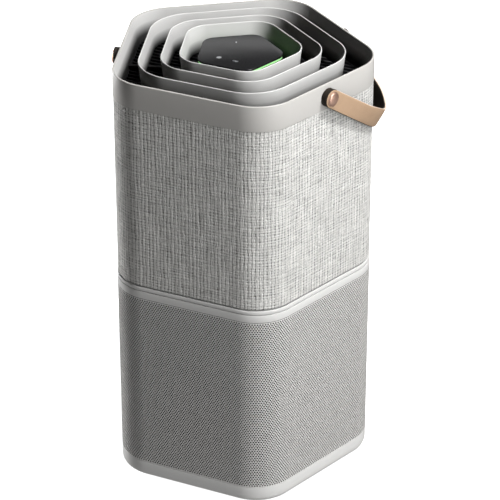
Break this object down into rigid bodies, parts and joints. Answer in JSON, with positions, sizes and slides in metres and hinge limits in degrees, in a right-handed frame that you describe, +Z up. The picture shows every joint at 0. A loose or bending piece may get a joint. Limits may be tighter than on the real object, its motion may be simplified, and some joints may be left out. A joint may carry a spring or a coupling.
{
  "type": "air purifier",
  "caption": "Five-sided tower air purifier with a perforated lower skin, woven upper sleeve, ringed top outlet, touch panel and leather strap handles.",
  "frame": {"origin": "on the floor, under the middle of the plan's bounding box", "axes": "+Z up; -Y out of the flat front side; +X to the right seen from the front"},
  "size_m": [0.31, 0.2732, 0.5008],
  "materials": {
    "light_plastic": "fine satin moulding",
    "skin_metal": "perforated sheet, satin paint",
    "dark_plastic": "dark moulding",
    "grey_plastic": "moulded shell",
    "rubber": "matt rubber",
    "steel": "plain steel",
    "woven_fabric": "heathered coarse weave",
    "panel_gloss": "dark glossy touch surface",
    "green_glow": "lit translucent green",
    "board": "circuit board",
    "board_components": "dark components",
    "led_lens": "clear lens",
    "motor_metal": "cast housing",
    "copper_winding": "lacquered wire",
    "brass_nut": "turned brass",
    "copper_stud": "polished copper-coloured metal",
    "strap_leather": "tan grained leather",
    "pad_leather": "dark brown leather",
    "filter_paper": "pleated paper",
    "filter_plastic": "plain moulding",
    "carbon_cloth": "carbon cloth",
    "tab_fabric": "woven tape"
  },
  "bodies": {
    "main": {"base_ring": "light_plastic", "base_plate": "dark_plastic", "foot_front_left": "rubber", "foot_front_right": "rubber", "foot_right": "rubber", "foot_back": "rubber", "foot_left": "rubber", "foot_screws": "steel", "front_skin": "skin_metal", "front_cage": "dark_plastic", "mid_band": "light_plastic", "seam_lip": "light_plastic", "seam_gasket": "rubber", "fan_deck": "dark_plastic", "fan_guard": "dark_plastic", "upper_shell": "grey_plastic", "fabric_sleeve": "woven_fabric", "top_collar": "light_plastic", "outlet_ring_1": "light_plastic", "outlet_ring_2": "light_plastic", "outlet_ring_3": "light_plastic", "ring_spider": "dark_plastic", "outlet_grille": "dark_plastic", "panel_housing": "dark_plastic", "control_panel": "panel_gloss", "light_ring": "green_glow", "touch_board": "board", "leds": "led_lens", "fan_duct": "dark_plastic", "motor_mount": "dark_plastic", "motor_housing": "motor_metal", "motor_cap": "motor_metal", "motor_stator": "copper_winding", "bearings": "steel", "diffuser": "dark_plastic", "main_board": "board", "board_parts": "board_components", "sensor_module": "dark_plastic", "power_inlet": "dark_plastic", "inlet_pins": "steel", "studs": "copper_stud", "strap_pads": "pad_leather"},
    "rotor": {"motor_shaft": "steel", "motor_rotor": "board_components", "impeller": "dark_plastic", "impeller_nut": "brass_nut"},
    "handle_right": {"strap_right": "strap_leather"},
    "handle_left": {"strap_left": "strap_leather"},
    "filter_door": {"door_skin": "skin_metal", "door_frame": "dark_plastic", "door_magnets": "steel"},
    "filter": {"filter_media": "filter_paper", "filter_cage": "filter_plastic", "filter_carbon": "carbon_cloth", "filter_top": "filter_plastic", "filter_bottom": "filter_plastic", "filter_gasket": "rubber", "filter_tab": "tab_fabric"}
  },
  "joints": [
    {"name": "fan_spin", "type": "hinge", "parent": "main", "child": "rotor", "pos_m": [0, -0.0094, 0.29], "axis": [0, 0, 1], "continuous": true},
    {"name": "handle_right_lift", "type": "hinge", "parent": "main", "child": "handle_right", "pos_m": [0.11508, 0.028, 0.4637], "axis": [0.309, -0.9511, 0], "range_deg": [0, 60], "deforming": ["strap_right"]},
    {"name": "handle_left_lift", "type": "hinge", "parent": "main", "child": "handle_left", "pos_m": [-0.11508, 0.028, 0.4637], "axis": [0.309, 0.9511, 0], "range_deg": [0, 60], "deforming": ["strap_left"]},
    {"name": "filter_door_pull", "type": "slide", "parent": "main", "child": "filter_door", "axis": [0, 1, 0], "range_m": [0, 0.26]},
    {"name": "filter_pull", "type": "slide", "parent": "main", "child": "filter", "axis": [0, 1, 0], "range_m": [0, 0.26]}
  ],
  "couplings": [
    {"joint": "filter_pull", "follows": "filter_door_pull", "ratio": 1}
  ]
}
